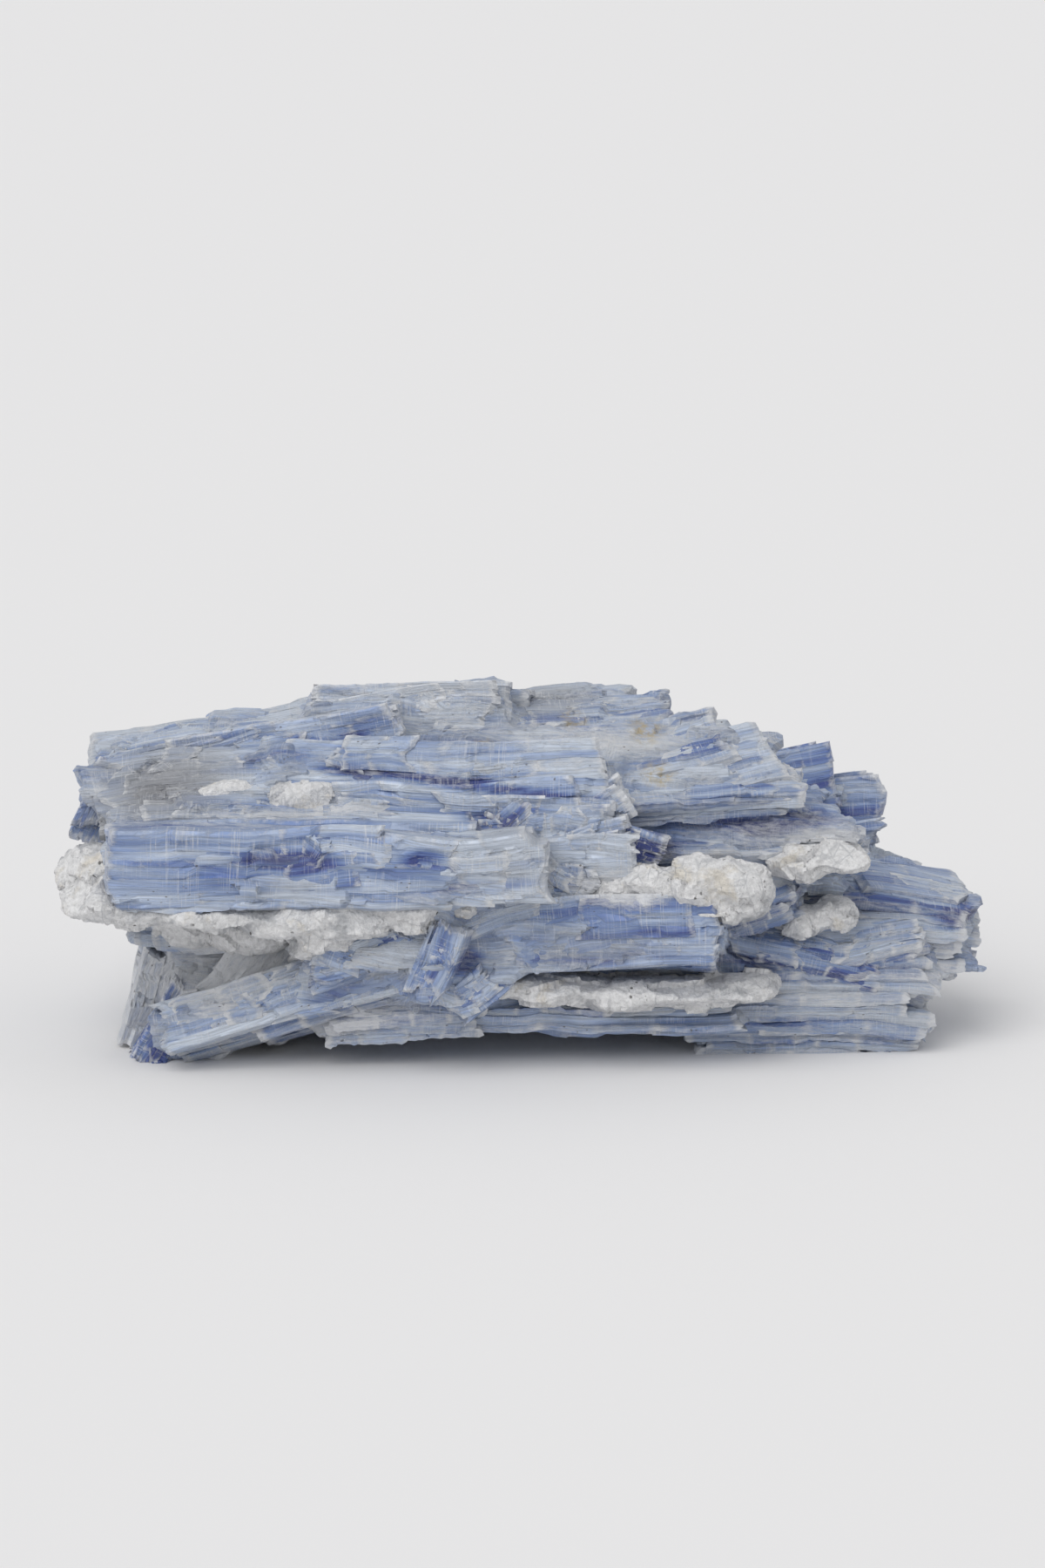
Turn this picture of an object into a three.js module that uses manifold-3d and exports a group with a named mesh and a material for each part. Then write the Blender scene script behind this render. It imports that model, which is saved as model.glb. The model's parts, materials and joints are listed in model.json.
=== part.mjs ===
// Kyanite blade cluster: flat blue crystals grown together into one mass, with white quartz in the
// hollows between them. It lies free on four flattened feet.
//
// Millimetres. +X runs along the cluster, -Y is its front and +Z is up. Places in the tables below are
// measured from the cluster's left end, its front and the ground; the finished part is then moved so
// that its origin is on the ground under its middle.
import * as THREE from 'three';
import { mergeVertices } from 'three/addons/utils/BufferGeometryUtils.js';
import Module from 'manifold-3d';

const wasm = await Module();
wasm.setup();

// ---- driving dimensions ----
const LENGTH = 110; // left quartz tip to the longest blade on the right
const DEPTH = 50; // front blade to the hidden back
const QUARTZ_GAP = 0.3; // clearance between a quartz lump and the blades around it
const BLADE_EDGE = 0.16; // how much of a blade's width its two slanted edges take
const BLADE_TAPER = 0.12; // a blade narrows by about this share towards its end
const END_SLANT = 0.3; // a broken end slants by up to this share of the blade's width
const END_STEP = 0.11; // blades in one sheaf end at different places, up to this share of its length
const BLADE_TURN = 2.2; // degrees by which the blades of one sheaf stray from its direction
const STACK_OVERLAP = 1.3; // neighbouring blades bite into each other by this factor
const QUARTZ_ROUGHNESS = 0.14; // bumps on a quartz lump, as a share of its radius
const GRAIN_SEED = 41; // picks which blade is the long one in each sheaf

// ---- the sheaves: bundles of blades that grew side by side ----
// from, to: the two ends of the sheaf's middle line.  width: across the broad face of its blades.
// stack: how thick the blades are together.  roll: degrees from facing the front (0) to facing up (90).
// blades: how many lie on top of each other.
const sheaves = [
  // front, left half
  { name: 'front_long', from: [6, 7.5, 24.1], to: [51, 6.5, 24.7], width: 9.8, stack: 10, roll: 6, blades: 3 },
  { name: 'front_tip', from: [40, 8.5, 24.4], to: [58, 8, 24.5], width: 6.4, stack: 8, roll: 4, blades: 2 },
  { name: 'front_top', from: [6, 12.5, 27.6], to: [50, 12.5, 28.4], width: 8, stack: 4, roll: 62, blades: 2 },
  { name: 'upper_left', from: [3, 19, 29.6], to: [29, 19, 31.6], width: 11, stack: 7, roll: 55, blades: 3 },
  { name: 'left_shoulder', from: [2.6, 29, 28.6], to: [38, 31, 32.4], width: 15, stack: 11, roll: 84, blades: 3 },
  { name: 'ridge', from: [13, 24, 31.6], to: [41, 25, 37.2], width: 7, stack: 8, roll: 12, blades: 3 },
  { name: 'crest', from: [29, 34, 37], to: [54, 34, 39], width: 7.2, stack: 11, roll: 8, blades: 2 },
  { name: 'upper_centre', from: [25, 19, 32.2], to: [66, 19, 31], width: 8.4, stack: 9, roll: 38, blades: 3 },
  { name: 'upper_centre_low', from: [32, 17, 28.6], to: [65, 17, 28], width: 8, stack: 10, roll: 14, blades: 3 },
  // front, the crossing in the middle
  { name: 'centre_upper', from: [43, 16, 27.8], to: [67, 16, 26.8], width: 7.4, stack: 10, roll: 12, blades: 2 },
  { name: 'centre_lower', from: [45, 14, 22.4], to: [69, 14, 23.2], width: 8.4, stack: 11, roll: 4, blades: 2 },
  { name: 'slanting_low', from: [12, 12.5, 2.6], to: [37, 12, 10.4], width: 6, stack: 9, roll: 28, blades: 3 },
  { name: 'slanting_mid', from: [22, 12.5, 5.6], to: [49, 11.5, 12.8], width: 6.6, stack: 9, roll: 24, blades: 3 },
  { name: 'slanting_high', from: [29, 12, 10.4], to: [58, 11, 21.8], width: 7, stack: 10, roll: 20, blades: 3 },
  { name: 'slanting_slab', from: [31, 7.5, 12.3], to: [43, 7, 15.7], width: 3.8, stack: 8, roll: 8, blades: 1 },
  { name: 'steep_cross', from: [43.4, 8, 8.6], to: [47, 8, 18.4], width: 4.4, stack: 9, roll: 6, blades: 2 },
  { name: 'corner_block', from: [47, 9.5, 7], to: [52.6, 9.5, 12.2], width: 4.4, stack: 8, roll: 6, blades: 2 },
  { name: 'lower_slab', from: [52, 11, 15.4], to: [79.4, 11, 16.4], width: 8.6, stack: 11, roll: 8, blades: 3 },
  // lower left, set back under the overhang
  { name: 'left_foot', from: [9.4, 15, -2], to: [16.4, 16.5, 9.4], width: 4, stack: 6, roll: 4, blades: 2 },
  { name: 'recess', from: [13.4, 21, -1], to: [29, 20, 15], width: 9, stack: 9, roll: 6, blades: 3 },
  { name: 'recess_wall', from: [10, 25, -1], to: [13, 25, 17], width: 8, stack: 10, roll: 0, blades: 2 },
  { name: 'recess_roof', from: [8, 20, 18.4], to: [40, 20, 18.4], width: 14, stack: 9, roll: 88, blades: 2 },
  { name: 'recess_back', from: [10, 29, 10], to: [44, 28, 10.6], width: 15, stack: 11, roll: 4, blades: 2 },
  // right half
  { name: 'fan_top', from: [55, 28, 32], to: [80.4, 29, 34.2], width: 12, stack: 6.4, roll: 78, blades: 3 },
  { name: 'fan_mid', from: [57, 24, 29.8], to: [85.6, 26, 32.4], width: 11, stack: 6, roll: 74, blades: 3 },
  { name: 'fan_low', from: [62, 20.5, 28.6], to: [88.4, 21.5, 30.2], width: 9, stack: 4.4, roll: 70, blades: 2 },
  { name: 'step', from: [49, 35, 33.6], to: [74.4, 35, 35.6], width: 11, stack: 6, roll: 82, blades: 2 },
  { name: 'back_right', from: [48, 42.5, 33.6], to: [69.6, 43, 35.4], width: 9, stack: 6, roll: 86, blades: 2 },
  { name: 'ledge', from: [60, 19.5, 24.4], to: [96, 20.5, 25], width: 11, stack: 3.4, roll: 82, blades: 2 },
  { name: 'back_blue_high', from: [74, 38.5, 25.4], to: [92.6, 40, 28], width: 8, stack: 8, roll: 14, blades: 3 },
  { name: 'back_blue_low', from: [77, 41, 21.6], to: [98.8, 42, 24], width: 8.6, stack: 8, roll: 14, blades: 3 },
  { name: 'blue_chunk', from: [75, 18, 15.8], to: [87.4, 19, 19.6], width: 8, stack: 4.4, roll: 70, blades: 2 },
  { name: 'right_top', from: [72, 30, 16.4], to: [109.6, 31, 13], width: 15, stack: 7, roll: 84, blades: 4 },
  { name: 'right_mid', from: [70, 24, 12.6], to: [109.4, 26, 11.4], width: 13, stack: 6, roll: 82, blades: 3 },
  { name: 'right_low', from: [68, 20, 8.8], to: [105, 22, 9.8], width: 13, stack: 5.4, roll: 84, blades: 3 },
  { name: 'right_base', from: [70, 19.5, 5.4], to: [103.6, 22, 5.8], width: 13, stack: 4.8, roll: 86, blades: 2 },
  { name: 'right_foot', from: [74, 22, 1.4], to: [102.4, 24, 1.3], width: 15, stack: 4.6, roll: 90, blades: 2 },
  { name: 'base_rim', from: [35, 18, 5.3], to: [82, 18, 5.5], width: 17, stack: 3.6, roll: 90, blades: 2 },
  { name: 'wavy_rim', from: [31, 13, 5.3], to: [51, 13, 6.6], width: 9, stack: 3.6, roll: 74, blades: 2 },
  // inside and underneath, which ties the outer sheaves together
  { name: 'heart', from: [15, 27, 17], to: [93, 28, 15.6], width: 25, stack: 24, roll: 90, blades: 3 },
  { name: 'heart_top', from: [18, 29, 30], to: [68, 31, 30.6], width: 21, stack: 12, roll: 88, blades: 2 },
  { name: 'underside', from: [20, 27, 5.2], to: [92, 28, 5.2], width: 26, stack: 3.6, roll: 90, blades: 2 },
  // the back
  { name: 'back_long', from: [5, 42, 24], to: [63, 44, 26.4], width: 12.4, stack: 11, roll: -8, blades: 3 },
  { name: 'back_slanting', from: [14, 41, 8], to: [62, 42.5, 15.4], width: 11, stack: 11, roll: -14, blades: 3 },
  { name: 'back_right_long', from: [50, 42, 15], to: [104.6, 39, 12.4], width: 11, stack: 12, roll: -10, blades: 3 },
  { name: 'back_upper', from: [16, 39, 32.6], to: [57, 42, 34.8], width: 12, stack: 6.6, roll: 104, blades: 2 },
  { name: 'back_mid', from: [54, 43, 24.4], to: [90, 42, 20.4], width: 10, stack: 9, roll: -6, blades: 2 },
  { name: 'back_rim', from: [26, 38, 5.6], to: [96, 38, 5.8], width: 10, stack: 5, roll: 92, blades: 2 },
  { name: 'back_left_foot', from: [15, 38, 0.8], to: [39, 40, 2], width: 9, stack: 6, roll: 90, blades: 2 },
  { name: 'back_right_foot', from: [66, 39, 1.6], to: [92, 38, 1], width: 9, stack: 5.6, roll: 90, blades: 2 },
];

// ---- the quartz: white lumps that filled the hollows between the blades ----
// at: middle.  half: half its length, depth and height.  pitch: degrees its right end rises.
const quartzLumps = [
  { name: 'quartz_left_tip', at: [5.4, 16, 22.6], half: [5.4, 6.4, 4.6], pitch: -8 },
  { name: 'quartz_front_band', at: [29.6, 9.6, 18.7], half: [17.4, 5.6, 2.5], pitch: -2 },
  { name: 'quartz_recess_lump', at: [31.4, 12.4, 12.8], half: [4.6, 4.4, 2.6], pitch: 20 },
  { name: 'quartz_upper_patch', at: [31.2, 15.2, 31.6], half: [4.4, 3.6, 2.5], pitch: -6 },
  { name: 'quartz_centre_lump', at: [75.2, 9.6, 21.6], half: [8.6, 5.4, 3.9], pitch: -8 },
  { name: 'quartz_ledge_lens', at: [88.2, 17.4, 22.9], half: [6.2, 4.4, 1.9], pitch: 6 },
  { name: 'quartz_right_dome', at: [90, 20.4, 16.4], half: [4.4, 4, 2.2], pitch: 0 },
  { name: 'quartz_base_seam', at: [67, 12.4, 9], half: [17, 6, 2.3], pitch: -2 },
];

// ---- colours and finishes ----
const kyanite = new THREE.MeshStandardMaterial({ color: 0x8f9fc0, roughness: 0.42, metalness: 0 });
const quartz = new THREE.MeshStandardMaterial({ color: 0xdedad2, roughness: 0.5, metalness: 0 });

// ---- helpers ----
// A repeatable run of numbers from 0 to 1, so that every build grows the same cluster.
function seededRandom(seed) {
  let state = seed >>> 0;
  return () => {
    state = (Math.imul(state, 1664525) + 1013904223) >>> 0;
    return state / 4294967296;
  };
}

// A closed three.js geometry as a solid that can be joined and cut.
function toSolid(geometry) {
  const bare = geometry.clone();
  bare.deleteAttribute('normal');
  bare.deleteAttribute('uv');
  const welded = mergeVertices(bare, 1e-4);
  return new wasm.Manifold(new wasm.Mesh({
    numProp: 3,
    vertProperties: new Float32Array(welded.attributes.position.array),
    triVerts: new Uint32Array(welded.index.array),
  }));
}

// A solid back as a three.js geometry.
function toGeometry(solid) {
  const mesh = solid.getMesh();
  const geometry = new THREE.BufferGeometry();
  geometry.setAttribute('position', new THREE.BufferAttribute(mesh.vertProperties, 3));
  geometry.setIndex(new THREE.BufferAttribute(mesh.triVerts, 1));
  geometry.computeVertexNormals();
  return geometry;
}

// Only the biggest body of a solid: splinters that a cut sets free are dropped.
function biggestBody(solid) {
  const bodies = solid.decompose();
  bodies.sort((a, b) => b.volume() - a.volume());
  return bodies[0];
}

// ---- one blade ----
// A long slab lying along +X with its broad faces towards -Y and +Y, its two long edges slanted and
// both ends broken off on a slant.
function bladeGeometry(length, width, thickness, random) {
  const halfWidth = width / 2;
  const halfThick = thickness / 2;
  const edge = width * BLADE_EDGE;
  const section = new THREE.Shape([
    new THREE.Vector2(-halfWidth + edge, -halfThick),
    new THREE.Vector2(halfWidth, -halfThick),
    new THREE.Vector2(halfWidth - edge, halfThick),
    new THREE.Vector2(-halfWidth, halfThick),
  ]);
  const geometry = new THREE.ExtrudeGeometry(section, { depth: length, bevelEnabled: false });
  const slantLeft = (random() - 0.5) * 2 * END_SLANT;
  const slantRight = (random() - 0.5) * 2 * END_SLANT;
  const position = geometry.attributes.position;
  for (let i = 0; i < position.count; i += 1) {
    const across = position.getX(i);
    const through = position.getY(i);
    const along = position.getZ(i) / length;
    const taper = 1 - BLADE_TAPER * along;
    const slant = along < 0.5 ? slantLeft : slantRight;
    position.setXYZ(i, (along - 0.5) * length + slant * across, through * taper, -across * taper);
  }
  return geometry;
}

// ---- one sheaf ----
// Blades stacked face to face along the sheaf's middle line, each a little longer or shorter than the
// next and turned a little.
function growSheaf(sheaf, random) {
  const from = new THREE.Vector3(...sheaf.from);
  const to = new THREE.Vector3(...sheaf.to);
  const along = to.clone().sub(from);
  const length = along.length();
  const heading = new THREE.Quaternion().setFromUnitVectors(new THREE.Vector3(1, 0, 0), along.normalize());
  const roll = new THREE.Quaternion().setFromAxisAngle(
    new THREE.Vector3(1, 0, 0), -THREE.MathUtils.degToRad(sheaf.roll));
  const thickness = sheaf.stack / sheaf.blades;
  const blades = [];
  for (let layer = 0; layer < sheaf.blades; layer += 1) {
    const shorter = random() * END_STEP * length;
    const shift = (random() - 0.5) * shorter;
    const bladeLength = length - shorter;
    const bladeWidth = sheaf.width * (0.82 + 0.18 * random());
    const bladeThickness = sheaf.blades > 1 ? thickness * STACK_OVERLAP : thickness;
    const geometry = bladeGeometry(bladeLength, bladeWidth, bladeThickness, random);
    const across = (random() - 0.5) * (sheaf.width - bladeWidth);
    const depth = (layer + 0.5) * thickness - sheaf.stack / 2;
    const turn = THREE.MathUtils.degToRad((random() - 0.5) * 2 * BLADE_TURN);
    geometry.applyMatrix4(new THREE.Matrix4().makeRotationY(turn));
    geometry.translate(shift, depth, across);
    geometry.applyQuaternion(roll);
    geometry.applyQuaternion(heading);
    geometry.translate(...from.clone().add(to).multiplyScalar(0.5).toArray());
    blades.push(toSolid(geometry));
  }
  return blades;
}

// ---- one quartz lump ----
// A rounded lump with blunt bumps. grow makes the same lump bigger all round.
function quartzSolid(lump, grow) {
  const geometry = new THREE.IcosahedronGeometry(1, 2);
  const position = geometry.attributes.position;
  const point = new THREE.Vector3();
  const half = new THREE.Vector3(...lump.half).addScalar(grow);
  for (let i = 0; i < position.count; i += 1) {
    point.fromBufferAttribute(position, i);
    const bump = Math.sin(5 * point.x + lump.at[0]) * Math.sin(4 * point.y + 1) * Math.sin(6 * point.z + 2);
    point.multiplyScalar(1 + QUARTZ_ROUGHNESS * bump).multiply(half);
    position.setXYZ(i, point.x, point.y, point.z);
  }
  geometry.rotateY(-THREE.MathUtils.degToRad(lump.pitch));
  geometry.translate(...lump.at);
  return toSolid(geometry);
}

// ---- the ground ----
// Everything below the ground is cut away, which leaves the feet with real flat faces.
function groundBlock() {
  const ground = new THREE.BoxGeometry(2 * LENGTH, 2 * DEPTH, DEPTH);
  ground.translate(LENGTH / 2, DEPTH / 2, -DEPTH / 2);
  return toSolid(ground);
}

// ---- put together ----
const random = seededRandom(GRAIN_SEED);
const ground = groundBlock();
const blades = sheaves.flatMap((sheaf) => growSheaf(sheaf, random));
const pockets = quartzLumps.map((lump) => quartzSolid(lump, QUARTZ_GAP));
const allBlades = wasm.Manifold.union(blades);
const bladeMass = biggestBody(allBlades.subtract(ground).subtract(wasm.Manifold.union(pockets)));

const cluster = new THREE.Group();

function addPiece(name, solid, material) {
  const mesh = new THREE.Mesh(toGeometry(solid), material);
  mesh.name = name;
  cluster.add(mesh);
}

addPiece('kyanite_blades', bladeMass, kyanite);
for (const lump of quartzLumps) {
  addPiece(lump.name, quartzSolid(lump, 0), quartz);
}

// The origin goes under the middle of the finished cluster.
const middle = new THREE.Box3().setFromObject(cluster).getCenter(new THREE.Vector3());
cluster.position.set(-middle.x, -middle.y, 0);
cluster.updateMatrixWorld(true);

export default cluster;
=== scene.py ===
# %% [markdown]
# # A kyanite blade cluster
# Kyanite grows as long flat blades that lie together in sheaves, like planks dropped in a heap. This
# specimen is one stone: blue blades with white quartz in the hollows between them. The frame that is
# loaded first holds its plain solids at real size. Everything here is built around it, in metres.

# %% Load the frame
import json
import math

import bpy
import numpy as np
from mathutils import Matrix, Vector

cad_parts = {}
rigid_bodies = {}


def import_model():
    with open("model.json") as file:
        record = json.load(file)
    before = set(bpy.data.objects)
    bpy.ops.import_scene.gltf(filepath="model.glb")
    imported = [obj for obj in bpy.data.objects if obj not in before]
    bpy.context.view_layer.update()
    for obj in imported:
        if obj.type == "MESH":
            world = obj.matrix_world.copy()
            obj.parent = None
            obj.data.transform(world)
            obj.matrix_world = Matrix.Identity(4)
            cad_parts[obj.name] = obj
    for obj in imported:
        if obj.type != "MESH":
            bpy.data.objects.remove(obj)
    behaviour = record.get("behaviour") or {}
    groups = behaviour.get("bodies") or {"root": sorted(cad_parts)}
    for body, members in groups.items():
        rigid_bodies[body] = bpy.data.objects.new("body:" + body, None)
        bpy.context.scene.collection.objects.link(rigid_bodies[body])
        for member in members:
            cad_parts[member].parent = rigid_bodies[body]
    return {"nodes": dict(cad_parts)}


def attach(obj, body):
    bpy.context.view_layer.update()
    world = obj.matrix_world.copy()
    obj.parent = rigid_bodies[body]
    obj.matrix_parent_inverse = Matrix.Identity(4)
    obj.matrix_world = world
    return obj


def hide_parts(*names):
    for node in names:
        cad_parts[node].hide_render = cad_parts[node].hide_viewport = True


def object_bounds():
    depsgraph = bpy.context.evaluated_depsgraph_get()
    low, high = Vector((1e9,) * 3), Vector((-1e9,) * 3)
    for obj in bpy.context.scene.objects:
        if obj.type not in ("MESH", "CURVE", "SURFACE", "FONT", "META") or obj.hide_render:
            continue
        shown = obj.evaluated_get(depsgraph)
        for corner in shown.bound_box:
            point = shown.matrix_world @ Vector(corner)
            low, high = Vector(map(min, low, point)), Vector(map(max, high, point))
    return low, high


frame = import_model()
cad_low, cad_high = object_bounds()
print("frame nodes:", sorted(frame["nodes"]))

# %% [markdown]
# ## Places
# A stone has no drawing, so every sheaf and lump has a place of its own in a layout: millimetres from
# the stone's left end, its front and the ground. One shift puts that layout on the frame. It comes from
# the lowest corner of the frame's own box, so the looks follow the frame if it moves.

# %% Millimetres of the layout to metres of the frame
MM = 0.001
LAYOUT_LOW = Vector((-0.18, 0.91, 0.0))  # lowest corner of the cluster in the layout's own measure
LAYOUT_SHIFT = cad_low - LAYOUT_LOW * MM


def place(point):
    """A point of the layout, in millimetres, as a point of the frame, in metres."""
    return Vector(point) * MM + LAYOUT_SHIFT


def clear_selection():
    bpy.ops.object.select_all(action="DESELECT")


def select_only(piece):
    clear_selection()
    piece.select_set(True)
    bpy.context.view_layer.objects.active = piece


print("the layout is shifted by", [round(value, 4) for value in LAYOUT_SHIFT])

# %% [markdown]
# ## Camera
# The stone is seen from the front, a little from above, with a lens long enough to keep it flat. The
# camera looks at the upper half of the stone, so the stone lies a little below the picture's middle.

# %% Camera
CAMERA_ELEVATION = math.radians(12)
CAMERA_DISTANCE = 0.560
FRAME_WIDTH = 0.1242  # what the picture's width takes in, at the point looked at
PICTURE_SHAPE = 1800 / 1200
LOOK_AT = (54.94, 25.0, 30.65)  # millimetres of the layout

look_at = place(LOOK_AT)
toward_camera = Vector((0, -math.cos(CAMERA_ELEVATION), math.sin(CAMERA_ELEVATION)))
bpy.ops.object.camera_add(location=look_at + toward_camera * CAMERA_DISTANCE)
camera = bpy.context.object
camera.name = "camera"
camera.rotation_euler = toward_camera.to_track_quat("Z", "Y").to_euler()
camera.data.sensor_width = 36.0
camera.data.lens = camera.data.sensor_width * CAMERA_DISTANCE / (FRAME_WIDTH * PICTURE_SHAPE)
camera.data.clip_start = 0.01
bpy.context.scene.camera = camera
print("lens:", round(camera.data.lens, 1), "mm")

# %% [markdown]
# ## Floor and light
# The stone lies on plain matt white card that runs on far behind it, so the camera sees no edge. The light is
# that of a pale room: a broad soft sun from the upper left gives the stone its shape, and the pale
# world fills the shadows, so that only the low arch under the stone goes dark. A sun is used because
# it lights the far card as brightly as the near card.

# %% Floor
FLOOR_SIZE = 14.0
CARD_WHITE = (0.85, 0.845, 0.845)


def card_material():
    material = bpy.data.materials.new("white_card")
    material.use_nodes = True
    shader = material.node_tree.nodes["Principled BSDF"]
    shader.inputs["Base Color"].default_value = (*CARD_WHITE, 1)
    shader.inputs["Roughness"].default_value = 0.9
    shader.inputs["Specular IOR Level"].default_value = 0.1
    return material


clear_selection()
bpy.ops.mesh.primitive_plane_add(size=FLOOR_SIZE, location=(0, 0, cad_low.z))
floor = bpy.context.object
floor.name = "floor"
bpy.ops.object.transform_apply(location=True)
floor.data.materials.append(card_material())

# %% Lights
ROOM_COLOUR = (0.97, 0.98, 1.0)
ROOM_STRENGTH = 0.63
SUN_FROM = Vector((-0.45, -0.62, 0.90))
SUN_STRENGTH = 1.32
SUN_SPREAD = math.radians(55)
SUN_COLOUR = (1.0, 0.985, 0.965)

bpy.ops.object.light_add(type="SUN", location=SUN_FROM)
sun = bpy.context.object
sun.name = "broad_soft_sun"
sun.rotation_euler = SUN_FROM.to_track_quat("Z", "Y").to_euler()
sun.data.energy = SUN_STRENGTH
sun.data.angle = SUN_SPREAD
sun.data.color = SUN_COLOUR

world = bpy.data.worlds.new("pale_room")
world.use_nodes = True
world.node_tree.nodes["Background"].inputs["Color"].default_value = (*ROOM_COLOUR, 1)
world.node_tree.nodes["Background"].inputs["Strength"].default_value = ROOM_STRENGTH
bpy.context.scene.world = world
bpy.context.scene.view_settings.view_transform = "Standard"
print("light: a broad sun of", SUN_STRENGTH, "and a room of", ROOM_STRENGTH)

# %% [markdown]
# ## The finish of kyanite
# Kyanite is pale ice blue with deep blue streaks along its blades. Fine lines run along a blade, white
# cracks cross it, and its broken ends and edges are frosted. Each blade carries its own map, "Grain",
# in millimetres along and across it, so every line follows its own blade. A second map, "Blade", says
# how deep a blue it is, how grey it is and how frosted it is. Its blue also carries painted shade, as a
# deeper blue in the mouth of the cleft, and its frost carries painted light, as extra white on the crest.

# %% Node helpers


class NodeSheet:
    """Adds nodes to one material and joins them, so that a finish reads from top to bottom."""

    def __init__(self, name):
        self.material = bpy.data.materials.new(name)
        self.material.use_nodes = True
        self.nodes = self.material.node_tree.nodes
        self.links = self.material.node_tree.links
        self.shader = self.nodes["Principled BSDF"]

    def add(self, kind, **settings):
        node = self.nodes.new(kind)
        for key, value in settings.items():
            setattr(node, key, value)
        return node

    def feed(self, socket, value):
        """Sets a socket to a plain value, or joins it to another node's output."""
        if isinstance(value, bpy.types.NodeSocket):
            self.links.new(value, socket)
        elif socket.type == "RGBA" and len(value) == 3:
            socket.default_value = (*value, 1.0)
        else:
            socket.default_value = value

    def math(self, operation, first, second=0.0, clamp=False):
        node = self.add("ShaderNodeMath", operation=operation, use_clamp=clamp)
        self.feed(node.inputs[0], first)
        self.feed(node.inputs[1], second)
        return node.outputs[0]

    def sway(self, value, amount):
        """A pattern from 0 to 1 as a change to both sides of nothing."""
        return self.math("MULTIPLY", self.math("SUBTRACT", value, 0.5), amount)

    def scaled(self, vector, scale, offset=(0, 0, 0)):
        node = self.add("ShaderNodeMapping")
        self.feed(node.inputs["Vector"], vector)
        node.inputs["Scale"].default_value = scale
        node.inputs["Location"].default_value = offset
        return node.outputs[0]

    def noise(self, vector, scale, detail=4.0, roughness=0.55, distortion=0.0):
        node = self.add("ShaderNodeTexNoise")
        self.feed(node.inputs["Vector"], vector)
        node.inputs["Scale"].default_value = scale
        node.inputs["Detail"].default_value = detail
        node.inputs["Roughness"].default_value = roughness
        node.inputs["Distortion"].default_value = distortion
        return node.outputs["Fac"]

    def cells(self, vector, scale, feature="F1"):
        node = self.add("ShaderNodeTexVoronoi", feature=feature)
        self.feed(node.inputs["Vector"], vector)
        node.inputs["Scale"].default_value = scale
        return node

    def ramp(self, value, stops):
        """A run of colours or greys: stops are (place, colour or grey)."""
        node = self.add("ShaderNodeValToRGB")
        self.feed(node.inputs[0], value)
        elements = node.color_ramp.elements
        while len(elements) < len(stops):
            elements.new(0.5)
        for element, (spot, colour) in zip(elements, stops):
            element.position = spot
            element.color = (*colour, 1) if isinstance(colour, tuple) else (colour, colour, colour, 1)
        return node.outputs[0]

    def mix(self, share, first, second, blend="MIX"):
        node = self.add("ShaderNodeMix", data_type="RGBA", blend_type=blend)
        self.feed(node.inputs["Factor"], share)
        self.feed(node.inputs["A"], first)
        self.feed(node.inputs["B"], second)
        return node.outputs["Result"]

    def bump(self, height, distance):
        node = self.add("ShaderNodeBump")
        node.inputs["Distance"].default_value = distance
        node.inputs["Strength"].default_value = 1.0
        self.feed(node.inputs["Height"], height)
        return node.outputs[0]


# %% Kyanite
ICE_BLUE = (0.545, 0.605, 0.70)
PALE_BLUE = (0.355, 0.435, 0.60)
MID_BLUE = (0.185, 0.265, 0.475)
DEEP_BLUE = (0.080, 0.140, 0.37)
ROYAL_BLUE = (0.022, 0.045, 0.22)
STONE_GREY = (0.26, 0.265, 0.285)
FROST = (0.80, 0.81, 0.83)
FROST_SHADE = (0.56, 0.59, 0.65)
DARK_SPECK = (0.07, 0.06, 0.06)
KYANITE_RELIEF = 0.00018  # metres between the low and the high places of the fine bumps
KYANITE_IOR = 1.72

# ochre stains: place in the layout and reach along the stone, in millimetres
STAINS = [((69.5, 32, 36.0), 3.2), ((71, 24, 32.4), 2.8), ((61, 34, 36.6), 2.4), ((50, 24, 35.4), 2.0)]
STAIN_SHAPE = (1.0, 0.35, 1.7)  # a stain is a flat streak that runs on into the stone
OCHRE = (0.52, 0.40, 0.18)


def stain_share(sheet):
    """How strongly a point of the stone is stained, from 0 to 1."""
    spot = sheet.add("ShaderNodeTexCoord").outputs["Object"]
    flat_spot = sheet.scaled(spot, STAIN_SHAPE)
    total = 0.0
    for middle, reach in STAINS:
        away = sheet.add("ShaderNodeVectorMath", operation="DISTANCE")
        sheet.feed(away.inputs[0], flat_spot)
        away.inputs[1].default_value = [a * b for a, b in zip(place(middle), STAIN_SHAPE)]
        share = sheet.math("DIVIDE", away.outputs["Value"], reach * MM)
        total = sheet.math("ADD", total, sheet.math("SUBTRACT", 1.0, share, clamp=True))
    blotches = sheet.ramp(sheet.noise(spot, 900.0, 4.0, 0.7), [(0.40, 0.0), (0.62, 1.6)])
    return sheet.math("MULTIPLY", total, blotches, clamp=True)


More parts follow.
